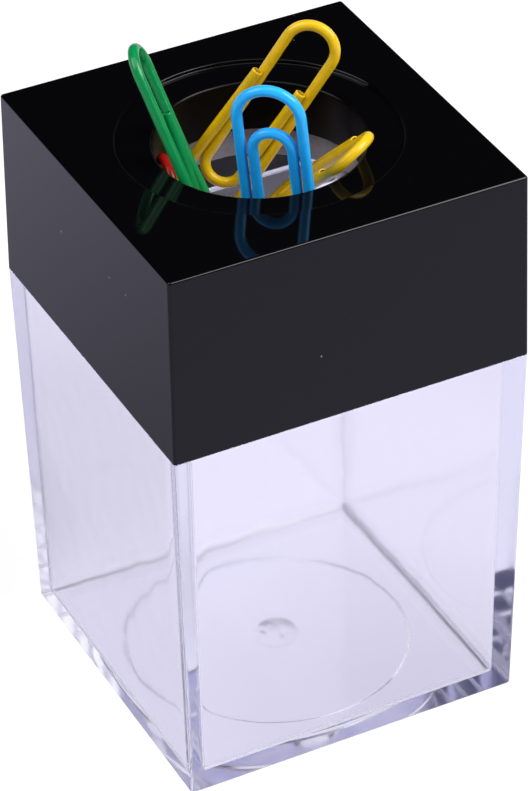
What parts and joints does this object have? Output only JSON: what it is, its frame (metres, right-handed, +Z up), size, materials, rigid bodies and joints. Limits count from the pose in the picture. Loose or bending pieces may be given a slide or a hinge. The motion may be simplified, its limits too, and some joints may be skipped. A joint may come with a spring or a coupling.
{
  "type": "magnetic paper clip holder",
  "caption": "Square clear box with a lift-off black cap whose round mouth has a ring magnet under it, holding coated paper clips upright for picking.",
  "frame": {"origin": "middle of the box's underside, on the surface that it stands on", "axes": "+Z up through the mouth; the picture sees the -Y face on the right and the -X face on the left"},
  "size_m": [0.042, 0.042, 0.0795],
  "materials": {
    "clear_polystyrene": "clear, polished",
    "black_polystyrene": "mirror gloss",
    "ferrite": "ground, dull grey",
    "steel_wire": "drawn",
    "green_vinyl": "semi-gloss",
    "yellow_vinyl": "semi-gloss",
    "blue_vinyl": "semi-gloss",
    "red_vinyl": "semi-gloss"
  },
  "bodies": {
    "box": {"clear_box": "clear_polystyrene"},
    "cap": {"cap": "black_polystyrene", "ring_magnet": "ferrite"},
    "green_clip": {"green_clip_wire": "steel_wire", "green_clip_coating": "green_vinyl"},
    "tall_yellow_clip": {"tall_yellow_clip_wire": "steel_wire", "tall_yellow_clip_coating": "yellow_vinyl"},
    "blue_clip": {"blue_clip_wire": "steel_wire", "blue_clip_coating": "blue_vinyl"},
    "low_yellow_clip": {"low_yellow_clip_wire": "steel_wire", "low_yellow_clip_coating": "yellow_vinyl"},
    "red_clip": {"red_clip_wire": "steel_wire", "red_clip_coating": "red_vinyl"}
  },
  "joints": [
    {"name": "cap_lift", "type": "slide", "parent": "box", "child": "cap", "axis": [0, 0, 1], "range_m": [0, 0.03]},
    {"name": "green_clip_pull", "type": "slide", "parent": "cap", "child": "green_clip", "axis": [-0.1833, 0.4652, 0.866], "range_m": [0, 0.018]},
    {"name": "tall_yellow_clip_pull", "type": "slide", "parent": "cap", "child": "tall_yellow_clip", "axis": [0.4896, -0.2028, 0.848], "range_m": [0, 0.02]},
    {"name": "blue_clip_pull", "type": "slide", "parent": "cap", "child": "blue_clip", "axis": [-0.0862, 0.0129, 0.9962], "range_m": [0, 0.019]},
    {"name": "low_yellow_clip_pull", "type": "slide", "parent": "cap", "child": "low_yellow_clip", "axis": [0.045, -0.7359, 0.6756], "range_m": [0, 0.025]},
    {"name": "red_clip_drop", "type": "slide", "parent": "cap", "child": "red_clip", "axis": [0, 0, 1], "range_m": [-0.032, 0]}
  ]
}
